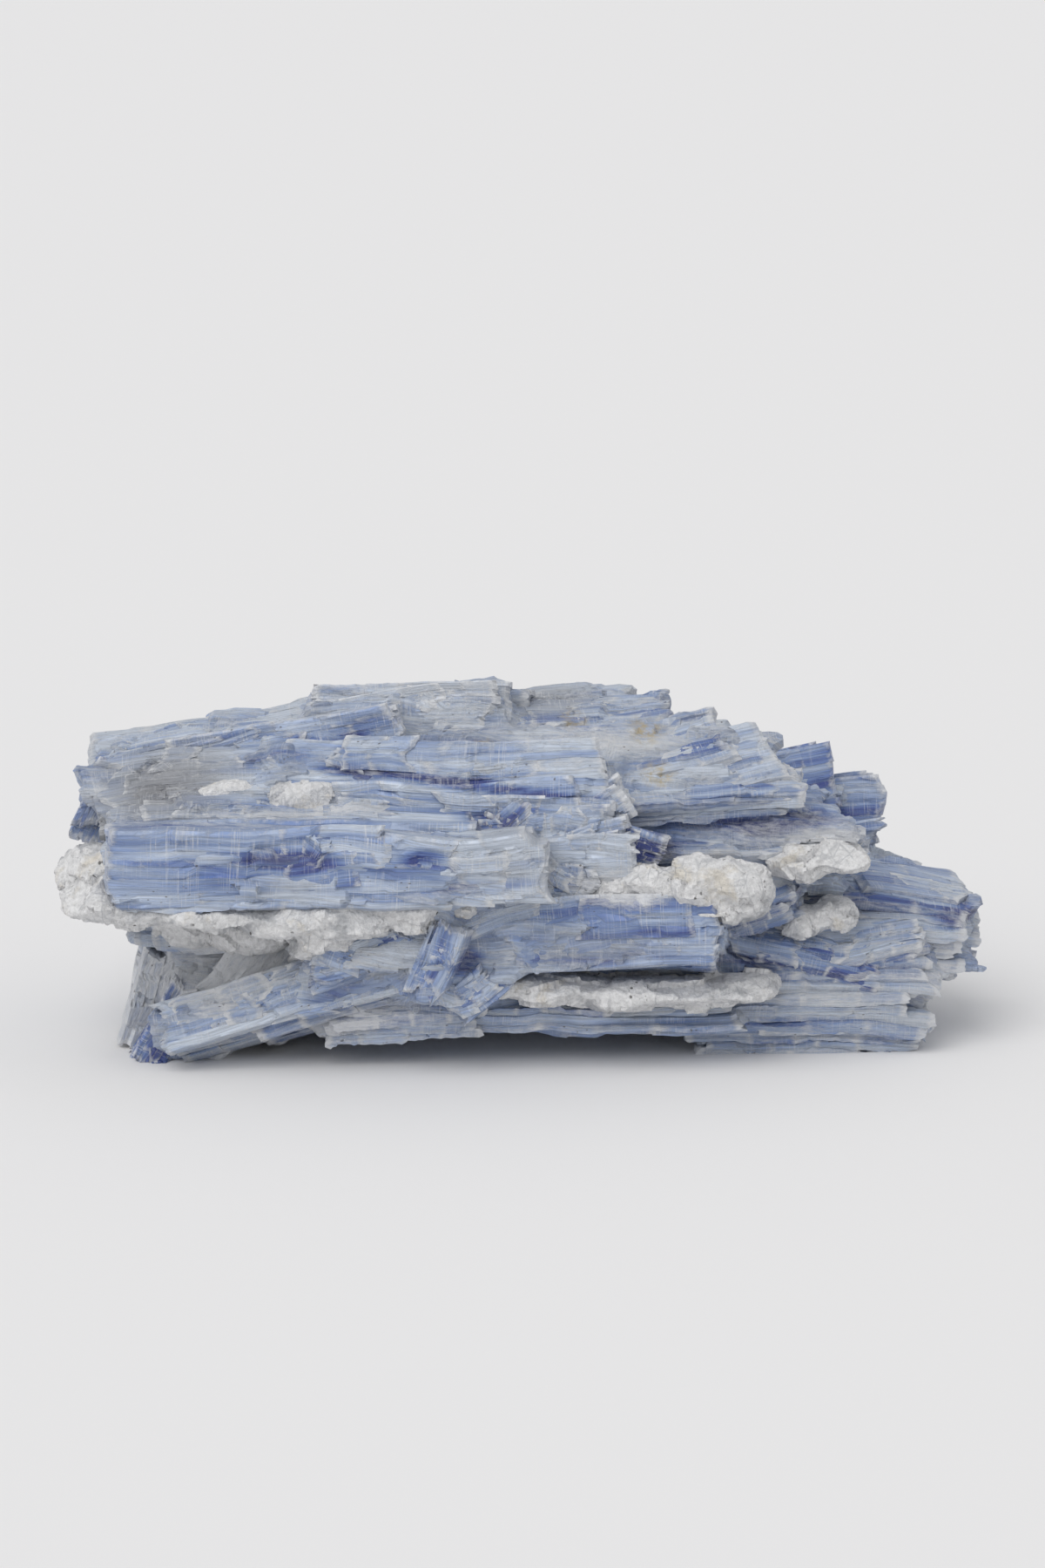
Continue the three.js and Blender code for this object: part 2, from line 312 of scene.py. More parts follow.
def kyanite_material():
    sheet = NodeSheet("kyanite_blue_blades")
    grain = sheet.add("ShaderNodeUVMap", uv_map="Grain").outputs[0]
    blade = sheet.add("ShaderNodeVertexColor", layer_name="Blade")
    parts = sheet.add("ShaderNodeSeparateColor")
    sheet.feed(parts.inputs[0], blade.outputs["Color"])
    blue_depth_with_cleft_shade, greyness, frosted = parts.outputs[0], parts.outputs[1], parts.outputs[2]

    fine_lines = sheet.noise(sheet.scaled(grain, (0.09, 4.4, 1)), 1.0, 4.0, 0.65)
    lines = sheet.noise(sheet.scaled(grain, (0.07, 1.5, 1), (5, 2, 0)), 1.0, 3.0, 0.6)
    broad_lines = sheet.noise(sheet.scaled(grain, (0.06, 0.42, 1), (1, 7, 0)), 1.0, 3.0, 0.55, 0.4)
    # the Blade map's blue also brings in painted shade: a deeper blue in the mouth of the cleft
    blue = sheet.math("ADD", blue_depth_with_cleft_shade, sheet.sway(broad_lines, 1.5))
    blue = sheet.math("ADD", blue, sheet.sway(lines, 0.8))
    blue = sheet.math("ADD", blue, sheet.sway(fine_lines, 0.45))
    body = sheet.ramp(blue, [(0.0, ICE_BLUE), (0.28, PALE_BLUE), (0.55, MID_BLUE), (0.78, DEEP_BLUE),
                             (1.0, ROYAL_BLUE)])
    body = sheet.mix(greyness, body, STONE_GREY)
    shade = sheet.ramp(fine_lines, [(0.30, 0.64), (0.5, 1.0), (0.70, 1.34)])
    body = sheet.mix(1.0, body, shade, "MULTIPLY")

    # cracks straight across, where a blade likes to break
    cross = sheet.noise(sheet.scaled(grain, (4.4, 0.13, 1)), 1.0, 3.0, 0.7)
    cross_zone = sheet.noise(sheet.scaled(grain, (0.16, 0.22, 1), (7, 3, 0)), 1.0, 1.0)
    cracks = sheet.math("MULTIPLY", sheet.ramp(cross, [(0.52, 0.0), (0.64, 1.0)]),
                        sheet.ramp(cross_zone, [(0.44, 0.0), (0.62, 0.5)]))
    body = sheet.mix(cracks, body, FROST)

    # white frost on broken ends, along edges and in patches; on the crest part of this white is painted light
    dust = sheet.noise(sheet.scaled(grain, (0.55, 1.7, 1), (4, 4, 0)), 1.0, 6.0, 0.75)
    crumbs = sheet.noise(sheet.scaled(grain, (1.9, 2.8, 1), (8, 1, 0)), 1.0, 6.0, 0.8)
    frost = sheet.math("ADD", frosted, sheet.sway(dust, 1.5))
    frost_share = sheet.ramp(frost, [(0.28, 0.0), (0.80, 0.9)])
    frost_colour = sheet.ramp(crumbs, [(0.30, FROST_SHADE), (0.46, FROST)])
    body = sheet.mix(frost_share, body, frost_colour)

    specks = sheet.cells(sheet.scaled(grain, (0.9, 1.6, 1)), 1.0)
    speck_dots = sheet.ramp(specks.outputs["Distance"], [(0.10, 1.0), (0.16, 0.0)])
    speck_zone = sheet.ramp(sheet.noise(sheet.scaled(grain, (0.10, 0.35, 1), (2, 8, 0)), 1.0, 1.0),
                            [(0.57, 0.0), (0.63, 0.8)])
    body = sheet.mix(sheet.math("MULTIPLY", speck_dots, speck_zone), body, DARK_SPECK)
    body = sheet.mix(stain_share(sheet), body, OCHRE)
    sheet.feed(sheet.shader.inputs["Base Color"], body)

    gloss = sheet.math("ADD", 0.24, sheet.math("MULTIPLY", fine_lines, 0.22))
    gloss = sheet.math("ADD", gloss, sheet.math("MULTIPLY", frost_share, 0.22))
    sheet.feed(sheet.shader.inputs["Roughness"], gloss)
    relief = sheet.math("ADD", fine_lines, sheet.math("MULTIPLY", lines, 0.8))
    relief = sheet.math("ADD", relief, sheet.math("MULTIPLY", dust, 0.9))
    crumble = sheet.math("MULTIPLY", crumbs, sheet.math("ADD", 0.3, sheet.math("MULTIPLY", frost_share, 1.1)))
    relief = sheet.math("ADD", relief, crumble)
    relief = sheet.math("ADD", relief, sheet.math("MULTIPLY", cracks, 0.3))
    sheet.feed(sheet.shader.inputs["Normal"], sheet.bump(relief, KYANITE_RELIEF))
    sheet.shader.inputs["IOR"].default_value = KYANITE_IOR
    return sheet.material


kyanite = kyanite_material()
print("made the finish", kyanite.name)

# %% [markdown]
# ## The finish of quartz
# The quartz is massive: no crystal faces, only sugary white grains with grey cracks, cream stains and
# a few black specks. It has no direction, so its patterns read Object coordinates.

# %% Quartz
QUARTZ_WHITE = (0.76, 0.76, 0.765)
QUARTZ_CREAM = (0.68, 0.645, 0.585)
QUARTZ_GREY = (0.44, 0.45, 0.47)
QUARTZ_SPECK = (0.08, 0.075, 0.07)
QUARTZ_RELIEF = 0.0004


def quartz_material():
    sheet = NodeSheet("quartz_sugary_white")
    spot = sheet.add("ShaderNodeTexCoord").outputs["Object"]
    clouds = sheet.noise(spot, 170.0, 5.0, 0.65)
    grains = sheet.noise(spot, 1500.0, 4.0, 0.75)
    body = sheet.ramp(clouds, [(0.34, QUARTZ_GREY), (0.44, QUARTZ_WHITE), (0.56, QUARTZ_WHITE),
                               (0.66, QUARTZ_CREAM)])
    body = sheet.mix(1.0, body, sheet.ramp(grains, [(0.35, 0.82), (0.6, 1.1)]), "MULTIPLY")
    cracks = sheet.cells(sheet.scaled(spot, (1.6, 1, 0.7)), 380.0, "DISTANCE_TO_EDGE")
    crack_lines = sheet.ramp(cracks.outputs["Distance"], [(0.0, 1.0), (0.07, 0.0)])
    crack_zone = sheet.ramp(sheet.noise(spot, 260.0, 2.0), [(0.46, 0.0), (0.60, 0.7)])
    body = sheet.mix(sheet.math("MULTIPLY", crack_lines, crack_zone), body, QUARTZ_GREY)
    specks = sheet.cells(spot, 1100.0)
    speck_dots = sheet.ramp(specks.outputs["Distance"], [(0.20, 1.0), (0.28, 0.0)])
    speck_zone = sheet.ramp(sheet.noise(spot, 230.0, 2.0), [(0.60, 0.0), (0.65, 0.9)])
    body = sheet.mix(sheet.math("MULTIPLY", speck_dots, speck_zone), body, QUARTZ_SPECK)
    sheet.feed(sheet.shader.inputs["Base Color"], body)
    sheet.feed(sheet.shader.inputs["Roughness"], sheet.ramp(grains, [(0.35, 0.28), (0.65, 0.6)]))
    relief = sheet.math("ADD", grains, sheet.math("MULTIPLY", clouds, 1.4))
    sheet.feed(sheet.shader.inputs["Normal"], sheet.bump(relief, QUARTZ_RELIEF))
    return sheet.material


quartz = quartz_material()
print("made the finish", quartz.name)

# %% [markdown]
# ## The blanks
# Every blade starts as the same blank: a unit cube that is cut into thin slices along, across and
# through, as a plank is marked out before it is split. Cutting it once and copying it is much quicker
# than modelling each blade, and the even slices are what the splitting needs. A coarser blank serves
# for the small flakes that lie on the blades.

# %% Cut the blanks
BLADE_CUTS = (40, 26, 3)
FLAKE_CUTS = (16, 10, 2)


def read_points(mesh):
    points = np.empty(len(mesh.vertices) * 3)
    mesh.vertices.foreach_get("co", points)
    return points.reshape(-1, 3)


def read_layout_points(mesh):
    """Points of a mesh in millimetres of the layout."""
    return (read_points(mesh) - np.array(LAYOUT_SHIFT)) / MM


def write_layout_points(mesh, points):
    mesh.vertices.foreach_set("co", (points * MM + np.array(LAYOUT_SHIFT)).ravel())
    mesh.update()


def read_corners(mesh):
    """The point at each corner of each face."""
    corners = np.empty(len(mesh.loops), dtype=int)
    mesh.loops.foreach_get("vertex_index", corners)
    return corners


def write_maps(mesh, corners, grain, maps):
    """Writes the two maps of a blade: Grain, which must be there, and Blade, which is made."""
    mesh.uv_layers["Grain"].data.foreach_set("uv", grain[corners].ravel())
    colours = mesh.color_attributes.new(name="Blade", type="FLOAT_COLOR", domain="CORNER")
    colours.data.foreach_set("color", maps[corners].ravel())


def cut_blank(name, cuts):
    """A unit cube cut into that many slices along X, Y and Z, and where each of its points belongs."""
    clear_selection()
    bpy.ops.mesh.primitive_cube_add(size=1)
    blank = bpy.context.object
    blank.name = name
    for axis, slices in enumerate(cuts):
        bpy.ops.object.mode_set(mode="EDIT")
        bpy.ops.mesh.select_mode(type="EDGE")
        bpy.ops.mesh.select_all(action="DESELECT")
        bpy.ops.object.mode_set(mode="OBJECT")
        points = [vertex.co.copy() for vertex in blank.data.vertices]
        for edge in blank.data.edges:
            run = points[edge.vertices[1]] - points[edge.vertices[0]]
            edge.select = abs(run[axis]) > 0.5 * run.length
        bpy.ops.object.mode_set(mode="EDIT")
        bpy.ops.mesh.subdivide(number_cuts=slices - 1)
        bpy.ops.object.mode_set(mode="OBJECT")
    blank.data.uv_layers[0].name = "Grain"
    slots = np.rint((read_points(blank.data) + 0.5) * cuts).astype(int)
    return dict(object=blank, cuts=cuts, slots=slots, corners=read_corners(blank.data))


blade_blank = cut_blank("blade_blank", BLADE_CUTS)
flake_blank = cut_blank("flake_blank", FLAKE_CUTS)
print("blank:", len(blade_blank["slots"]), "points; small blank:", len(flake_blank["slots"]))

# %% [markdown]
# ## Splitting a blade
# A kyanite blade is a bundle of thin laths. It breaks off in a few straight slanting breaks at each
# end, and its faces flake away in steps that stop at the edge of a lath. The slices of the blank are
# moved to the edges of the laths. Two slices lie almost together at each edge and at each step, so the
# steps are sharp. Each lath and each step also gets its own share of blue and of frost.

# %% Split one blade
STEP_GAP = 0.03  # millimetres between the two slices at a step
CHIP = 0.35  # millimetres that the chipped rim of a blade is wide
SHALLOW_STEPS = 0.55  # share of the steps that are only a tenth as deep as the others
DEEPEST_FLAKE = 0.44  # share of its thickness that a blade may lose on either face
END_FROST = 0.38
EDGE_FROST = 0.16


def lath_lines(width, laths, slices, rng):
    """Places of the slices across a blade, and the lath that each belongs to."""
    shares = rng.uniform(0.25, 1.0, laths)
    edges = np.concatenate([[0], np.cumsum(shares / shares.sum())]) * width - width / 2
    lines = []
    for lath in range(laths):
        low = edges[lath] + (STEP_GAP / 2 if lath else 0)
        high = edges[lath + 1] - (STEP_GAP / 2 if lath < laths - 1 else 0)
        lines.append([low, high])
    rim = min(CHIP, 0.15 * width / laths)
    lines[0].insert(1, lines[0][0] + rim)
    lines[-1].insert(-1, lines[-1][-1] - rim)
    while sum(len(places) for places in lines) < slices + 1:
        widest = max(range(laths), key=lambda lath: np.diff(lines[lath]).max())
        gap = int(np.diff(lines[widest]).argmax())
        lines[widest].insert(gap + 1, (lines[widest][gap] + lines[widest][gap + 1]) / 2)
    owners = np.concatenate([[lath] * len(places) for lath, places in enumerate(lines)])
    return np.concatenate(lines), owners


def smooth_run(count, knots, rng):
    """A gently changing run of numbers, from -1 to 1."""
    return np.interp(np.linspace(0, knots, count), np.arange(knots + 1), rng.uniform(-1, 1, knots + 1))


def broken_end(places, width, ragged, rng):
    """How far back a blade's end is broken, across the blade: a few straight slanting breaks."""
    knots = np.linspace(-width / 2, width / 2, rng.integers(3, 6))
    knots[1:-1] += rng.uniform(-0.3, 0.3, len(knots) - 2) * width / len(knots)
    back = rng.uniform(0, 2.2 * ragged, len(knots))
    return np.interp(places, knots, back - back.min())


def flake_shares(slices, flakes, length, rng):
    """Shares of the length at which one lath's slices lie, and the step that each belongs to."""
    gap, chip = STEP_GAP / length, CHIP / length
    anchors, shares = [0, 1, 2], [0, chip, 3 * chip]
    for flake in range(flakes):
        middle = round(slices * (flake + 1) / (flakes + 1))
        share = (flake + rng.uniform(0.75, 1.25)) / (flakes + 1)
        anchors += [middle, middle + 1]
        shares += [share - gap, share + gap]
    anchors += [slices - 2, slices - 1, slices]
    shares += [1 - 3 * chip, 1 - chip, 1]
    numbers = np.arange(slices + 1)
    return np.interp(numbers, anchors, shares), np.searchsorted(anchors[3:-3:2], numbers, side="left")


def split_blade(blank, length, width, thickness, looks, rng):
    """Points of one blade in millimetres, along X with its broad faces towards -Z and +Z, and its
    shares of blue and frost."""
    along_cuts, across_cuts, through_cuts = blank["cuts"]
    laths = min(looks["laths"], across_cuts // 3)
    flakes = 3 if along_cuts > 20 else 1
    places, owners = lath_lines(width, laths, across_cuts, rng)
    start = -length / 2 + broken_end(places, width, looks["ragged"], rng)
    finish = length / 2 - broken_end(places, width, looks["ragged"], rng)
    shape = (along_cuts + 1, across_cuts + 1)
    along = np.empty(shape)
    faces = np.zeros((2, *shape))  # how far the two broad faces have flaked
    blue = np.empty(shape)
    frost = np.zeros(shape)
    for lath in range(laths):
        mine = owners == lath
        shares, steps = flake_shares(along_cuts, flakes, length, rng)
        notch = rng.exponential(0.15 * looks["ragged"], 2).clip(0, 0.1 * length)
        low, high = start[mine] + notch[0], finish[mine] - notch[1]
        along[:, mine] = low + shares[:, None] * (high - low)
        for face in faces:
            drop = rng.exponential(looks["relief"], flakes + 1).clip(0, thickness * 0.3)
            drop[rng.random(flakes + 1) < SHALLOW_STEPS] *= 0.1
            face[:, mine] = drop[steps][:, None]
        blue[:, mine] = (rng.normal(0, 0.09) + rng.normal(0, 0.07, flakes + 1)[steps])[:, None]
        frost[:, mine] += rng.normal(0, 0.05, flakes + 1)[steps][:, None]
        frost[:, np.flatnonzero(mine)[[0, -1]]] += rng.uniform(0, 0.22)
        new_step = np.flatnonzero(np.diff(steps))
        frost[np.ix_(np.concatenate([new_step, new_step + 1]), mine)] += rng.uniform(0, 0.45)

    near_end = np.minimum(np.arange(along_cuts + 1), along_cuts - np.arange(along_cuts + 1))
    near_edge = np.minimum(np.arange(across_cuts + 1), across_cuts - np.arange(across_cuts + 1))
    for face in faces:
        face += rng.normal(0, 0.012, across_cuts + 1)
        face += 0.04 * thickness * smooth_run(along_cuts + 1, 5, rng)[:, None]
        face[near_end == 0] += rng.uniform(0.03, 0.22, across_cuts + 1) * thickness
        face[:, near_edge == 0] += rng.uniform(0.02, 0.16, (along_cuts + 1, 2)) * thickness
    faces = faces.clip(None, DEEPEST_FLAKE * thickness)
    frost[near_end < 2] += END_FROST
    frost[:, near_edge < 2] += EDGE_FROST

    i, j, k = blank["slots"].T
    share = k / through_cuts
    height = (faces[0][i, j] - thickness / 2) * (1 - share) + (thickness / 2 - faces[1][i, j]) * share
    layer_step = rng.uniform(0, 0.3, (4, through_cuts + 1)) * min(thickness, 1.2)
    across = places[j] - layer_step[0][k] * (j == 0) + layer_step[1][k] * (j == across_cuts)
    run = along[i, j] - layer_step[2][k] * (i == 0) + layer_step[3][k] * (i == along_cuts)
    return np.stack([run, across, height], axis=1), blue[i, j], frost[i, j]


# %% [markdown]
# Real blades aren't ruled straight either. The same slow noise bends every blade by where it lies in the
# stone, so neighbours bend together and no gap opens between them.

# %% Bend the stone a little
NOISE_CELLS = 24
BROAD_BEND = (0.85, 16.0)  # how far the stone bends and the size of one bend, in millimetres
SMALL_BEND = (0.20, 4.8)


def rock_noise(points, size, seed):
    """Smooth noise at points: three numbers from -1 to 1 each, which change over that size."""
    lattice = np.random.default_rng(seed).uniform(-1, 1, (NOISE_CELLS,) * 3 + (3,))
    cell = np.floor(points / size).astype(int)
    part = points / size - cell
    part = part * part * (3 - 2 * part)
    total = np.zeros_like(points)
    for corner in np.ndindex(2, 2, 2):
        weight = np.prod(np.where(corner, part, 1 - part), axis=1)
        spot = (cell + corner) % NOISE_CELLS
        total += weight[:, None] * lattice[spot[:, 0], spot[:, 1], spot[:, 2]]
    return total


def chip_noise(points, size, seed):
    """Heights of flat tilted chips at points: each chip is a cell of that size with its own slope."""
    rng = np.random.default_rng(seed)
    jitter = rng.uniform(0.1, 0.9, (NOISE_CELLS,) * 3 + (3,))
    slopes = rng.normal(0, 1, (NOISE_CELLS,) * 3 + (3,))
    scaled = points / size
    cell = np.floor(scaled).astype(int)
    nearest = np.full(len(points), np.inf)
    height = np.zeros(len(points))
    for step in np.ndindex(3, 3, 3):
        neighbour = cell + step - 1
        spot = tuple((neighbour % NOISE_CELLS).T)
        away = scaled - neighbour - jitter[spot]
        distance = (away ** 2).sum(1)
        closer = distance < nearest
        nearest[closer] = distance[closer]
        height[closer] = (away * slopes[spot]).sum(1)[closer]
    return height


def bend(points):
    """Layout points, in millimetres, moved by the stone's own unevenness."""
    for seed, (reach, size) in enumerate((BROAD_BEND, SMALL_BEND), start=1):
        points = points + reach * rock_noise(points, size, seed)
    return points


print("a blade has", BLADE_CUTS[0], "slices along and", BLADE_CUTS[1], "across")

# %% [markdown]
# ## Streaks and patches
# Some marks belong to this stone and not to one blade: the royal blue streaks on the long front blade,
# a thin blue vein, painted shade in the mouth of the cleft, made as a dark blue spot, and whitish or
# greyish patches. Each is a soft spot in the layout that is added to the maps of every blade it touches.

# %% Streaks and patches
# blue streaks, and one painted shade: the dark blue spot in the mouth of the cleft stands in for shade
# place in the layout, half sizes, slope in degrees, strength
BLUE_STREAKS_AND_CLEFT_SHADE = [
    ((28.4, 4, 26.5), (6.0, 4, 1.2), 1, 1.0),
    ((43.7, 4, 27.0), (2.8, 4, 1.1), 1, 0.9),
    ((22, 4, 23.6), (12, 4, 1.6), 1, 0.14),
    ((40, 4, 23.8), (9, 4, 2.2), 1, 0.16),
    ((48, 15, 33.1), (17, 6, 0.50), 5, 1.0),
    ((35, 15, 34.3), (4, 6, 0.9), 5, 0.5),
    ((79, 21, 27.2), (12, 5.5, 1.8), -3, 1.1),
    ((69, 14, 25.6), (4.5, 5, 1.3), 12, 0.75),
    ((23, 22, 34.4), (2.4, 5, 1.3), -12, 0.75),
    ((29, 22, 35.6), (2.2, 5, 1.3), -12, 0.75),
    ((35, 22, 36.8), (2.3, 5, 1.1), -12, 0.65),
    ((48.1, 7, 13.8), (2.2, 4, 1.6), 0, 0.9),
    ((51, 12, 28.8), (4, 4, 1.7), 0, 0.55),
    ((107, 24, 14.8), (3, 6, 0.9), 0, 0.9),
    ((62, 8, 13.8), (6, 5, 0.55), 2, 0.8),
    ((80, 14, 11.4), (8, 6, 1.2), 14, 0.55),
    ((96, 19, 9.8), (9, 6, 1.0), 4, 0.4),
    ((88, 18, 4.2), (8, 6, 0.8), 0, 0.5),
    ((34, 11, 10.2), (5, 5, 1.0), -22, 0.6),
]
FROST_PATCHES = [
    ((66, 7, 21.6), (6, 5, 2.2), 8, 0.65),
    ((20, 15, 9), (8, 8, 7), -40, 0.45),
    ((27, 12, 30.2), (14, 6, 0.9), 0, 0.35),
    ((84, 24, 30), (7, 6, 2.6), 0, 0.22),
    ((60, 30, 35), (14, 10, 2.2), 0, 0.25),
    ((10, 10, 23), (3, 6, 6), 0, 0.40),
    ((36, 10, 6), (10, 6, 1.6), -20, 0.35),
    ((92, 16, 25.8), (6, 6, 1.2), 0, 0.55),
    ((103, 20, 7), (4, 6, 4), 0, 0.35),
    ((46, 30, 39), (14, 8, 4), 0, 0.18),
]
GREY_PATCHES = [
    ((54, 6, 25.5), (4.5, 5, 5), 0, 0.55),
    ((13, 19, 31), (9, 9, 5), -14, 1.0),
    ((52, 14, 20), (5, 6, 3), 0, 0.4),
    ((64, 8, 15), (9, 6, 2.5), 0, 0.3),
    ((58, 41, 37.5), (7, 8, 2), 0, 0.6),
    ((44, 22, 35.6), (10, 5, 1.5), 0, 0.4),
    ((30, 12, 13), (6, 6, 2), -20, 0.5),
]


def soft_spots(points, spots):
    """The sum of soft spots at layout points."""
    total = np.zeros(len(points))
    for middle, half, slope, strength in spots:
        away = points - middle
        lean = math.radians(slope)
        along = away[:, 0] * math.cos(lean) - away[:, 2] * math.sin(lean)
        across = away[:, 0] * math.sin(lean) + away[:, 2] * math.cos(lean)
        distance = np.sqrt((along / half[0]) ** 2 + (away[:, 1] / half[1]) ** 2 + (across / half[2]) ** 2)
        total += strength * np.clip(1.6 - 1.2 * distance, 0, 1)
    return total


print(len(BLUE_STREAKS_AND_CLEFT_SHADE), "streaks,", len(FROST_PATCHES), "frosted and", len(GREY_PATCHES), "grey patches")

# %% [markdown]
# ## Growing a sheaf
# The blades of one sheaf lie face to face along its middle line, each a little longer, shorter or
# turned than the next. Small flakes lie on its two broad faces, turned a little more. The copies are
# joined by a union, which also takes away what is buried inside.

# %% Grow a sheaf
BLADE_TURN = math.radians(3)
FLAKE_TURN = math.radians(3.5)
CROSS_FLAKES = 0.25  # share of the flakes that are short and lie across the grain
CROSS_TURN = math.radians(28)
PROUD = 1.3  # a blade is this much thicker than its share of the stack, so that neighbours overlap
BREAK_SIZE = (8.0, 6.0, 3.6)  # millimetres that one flat break runs on from blade to blade
BREAK_HEIGHT = 0.38
GRAIN_JUMP = 37.0  # millimetres between the patterns of two blades, so that no two look alike
FLAKE_ROOM = 34  # square millimetres of a sheaf's face for each flake
SMOOTH_ANGLE = math.radians(26)  # a sharper edge than this shows as an edge
# what a sheaf looks like unless its row says otherwise
PLAIN_LOOKS = dict(laths=8, ragged=1.2, relief=0.07, blue=0.25, frost=0.12, grey=0.0, flakes=1.0)


def sheaf_matrix(start, end, roll):
    """The turn and place of a sheaf: X along it, Z out of the broad faces of its blades."""
    along = (end - start).normalized()
    front = Vector((0, -1, 0))
    normal = (front - along * front.dot(along)).normalized()
    normal.rotate(Matrix.Rotation(-math.radians(roll), 3, along))
    across = normal.cross(along)
    turn = Matrix((along, across, normal)).transposed().to_4x4()
    return Matrix.Translation((start + end) / 2) @ turn


def turned(points, matrix):
    """Points moved by a matrix."""
    matrix = np.array(matrix)
    return points @ matrix[:3, :3].T + matrix[:3, 3]


def blade_object(name, blank, size, matrix, looks, rng):
    """One split blade as an object, in metres in the frame, with its two maps."""
    points, blue, frost = split_blade(blank, *size, looks, rng)
    points[:, 2] += BREAK_HEIGHT * chip_noise(turned(points, matrix), np.array(BREAK_SIZE), 5).clip(-1, 1)
    grain = np.stack([points[:, 0], points[:, 1] + points[:, 2]], axis=1)
    grain += rng.uniform(0, 9, 2) * GRAIN_JUMP
    points = bend(turned(points, matrix))
    # the blue streaks also add painted shade, as a deeper blue in the mouth of the cleft
    blue = looks["blue"] + rng.normal(0, 0.09) + blue + soft_spots(points, BLUE_STREAKS_AND_CLEFT_SHADE)
    grey = looks["grey"] + soft_spots(points, GREY_PATCHES)
    frost = looks["frost"] + rng.normal(0, 0.06) + frost + soft_spots(points, FROST_PATCHES)
    maps = np.stack([blue, grey, frost, np.ones(len(points))], axis=1).clip(0, 1)
    mesh = blank["object"].data.copy()
    write_layout_points(mesh, points)
    write_maps(mesh, blank["corners"], grain, maps)
    return bpy.data.objects.new(name, mesh)


def grow_sheaf(sheaf, rng):
    """The blades and flakes of one sheaf, as objects in metres in the frame."""
    name, start, end, width, stack, roll, blades = sheaf[:7]
    looks = dict(PLAIN_LOOKS, **sheaf[7])
    start, end = Vector(start), Vector(end)
    length = (end - start).length
    matrix = sheaf_matrix(start, end, roll)
    thickness = stack / blades
    grown = []
    for layer in range(blades):
        shorter = rng.uniform(0, 0.12) * length
        blade_width = width * rng.uniform(0.88, 1.0)
        turn = Matrix.Rotation(rng.uniform(-1, 1) * BLADE_TURN, 4, "Z")
        tilt = Matrix.Rotation(rng.uniform(-1, 1) * BLADE_TURN * 0.5, 4, "Y")
        shift = Matrix.Translation((rng.uniform(-0.5, 0.5) * shorter,
                                    rng.uniform(-0.5, 0.5) * (width - blade_width),
                                    (layer + 0.5) * thickness - stack / 2))
        size = (length - shorter, blade_width, thickness * PROUD)
        grown.append(blade_object(f"{name}_{layer}", blade_blank, size, matrix @ shift @ turn @ tilt,
                                  looks, rng))

    flake_looks = dict(looks, laths=3, ragged=0.7, relief=0.05)
    for flake in range(round(looks["flakes"] * (3 + length * width / FLAKE_ROOM))):
        size = (rng.uniform(4, 18), rng.uniform(0.9, 5.5), rng.uniform(0.7, 1.5))
        size = (min(size[0], 0.5 * length), min(size[1], 0.5 * width), size[2])
        side = 1 if rng.random() < 0.6 else -1
        proud = stack / 2 + (PROUD - 1) * thickness / 2 + rng.uniform(-0.05, 0.28) - size[2] / 2
        shift = Matrix.Translation((rng.uniform(-0.5, 0.5) * (length - size[0]),
                                    rng.uniform(-0.5, 0.5) * (width - size[1]), side * proud))
        twist = FLAKE_TURN
        if rng.random() < CROSS_FLAKES:
            size = (min(size[0], 5.0), min(size[1], 2.4), size[2])
            twist = CROSS_TURN
        turn = Matrix.Rotation(rng.normal() * twist, 4, "Z")
        tilt = Matrix.Rotation(rng.normal() * FLAKE_TURN * 0.25, 4, "X")
        grown.append(blade_object(f"{name}_flake_{flake}", flake_blank, size,
                                  matrix @ shift @ turn @ tilt, flake_looks, rng))
    return grown


def join_all(name, parts):
    """One piece from many closed shells that overlap."""
    whole, *rest = parts
    whole.name = name
    bpy.context.scene.collection.objects.link(whole)
    others = bpy.data.collections.new(name + "_others")
    for part in rest:
        others.objects.link(part)
    union = whole.modifiers.new("union", "BOOLEAN")
    union.operation = "UNION"
    union.solver = "MANIFOLD"
    union.operand_type = "COLLECTION"
    union.collection = others
    select_only(whole)
    bpy.ops.object.modifier_apply(modifier="union")
    for part in rest:
        bpy.data.objects.remove(part)
    bpy.data.collections.remove(others)
    return whole


def drop_crumbs(piece, smallest):
    """Deletes loose bits of fewer faces than that, which would float beside the stone."""
    select_only(piece)
    bpy.ops.mesh.separate(type="LOOSE")
    bits = list(bpy.context.selected_objects)
    for bit in bits:
        if bit is not piece and len(bit.data.polygons) < smallest:
            bpy.data.objects.remove(bit)
    clear_selection()
    for bit in bpy.context.scene.objects:
        if bit.name.startswith(piece.name + "."):
            bit.select_set(True)
    piece.select_set(True)
    if len(bpy.context.selected_objects) > 1:
        bpy.ops.object.join()
    if len(piece.data.polygons) < smallest:
        print("warning:", piece.name, "is only a crumb")


def cut_at_ground(piece):
    """Feet are worn flat where the stone lies, at the height of the ground."""
    select_only(piece)
    bpy.ops.object.mode_set(mode="EDIT")
    bpy.ops.mesh.select_all(action="SELECT")
    bpy.ops.mesh.bisect(plane_co=(0, 0, cad_low.z), plane_no=(0, 0, -1), clear_outer=True, use_fill=True)
    bpy.ops.object.mode_set(mode="OBJECT")


def finish_piece(piece, material, node):
    piece.data.materials.clear()
    piece.data.materials.append(material)
    select_only(piece)
    bpy.ops.object.shade_smooth_by_angle(angle=SMOOTH_ANGLE)
    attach(piece, "root")
    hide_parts(node)


# %% [markdown]
# ## The sheaves
# Each row is one sheaf: its name, the two ends of its middle line, the width of its blades, how thick
# they are together, its roll (0 faces the front, 90 faces up) and how many blades it has. The last
# entry holds what makes that sheaf look different from the others.

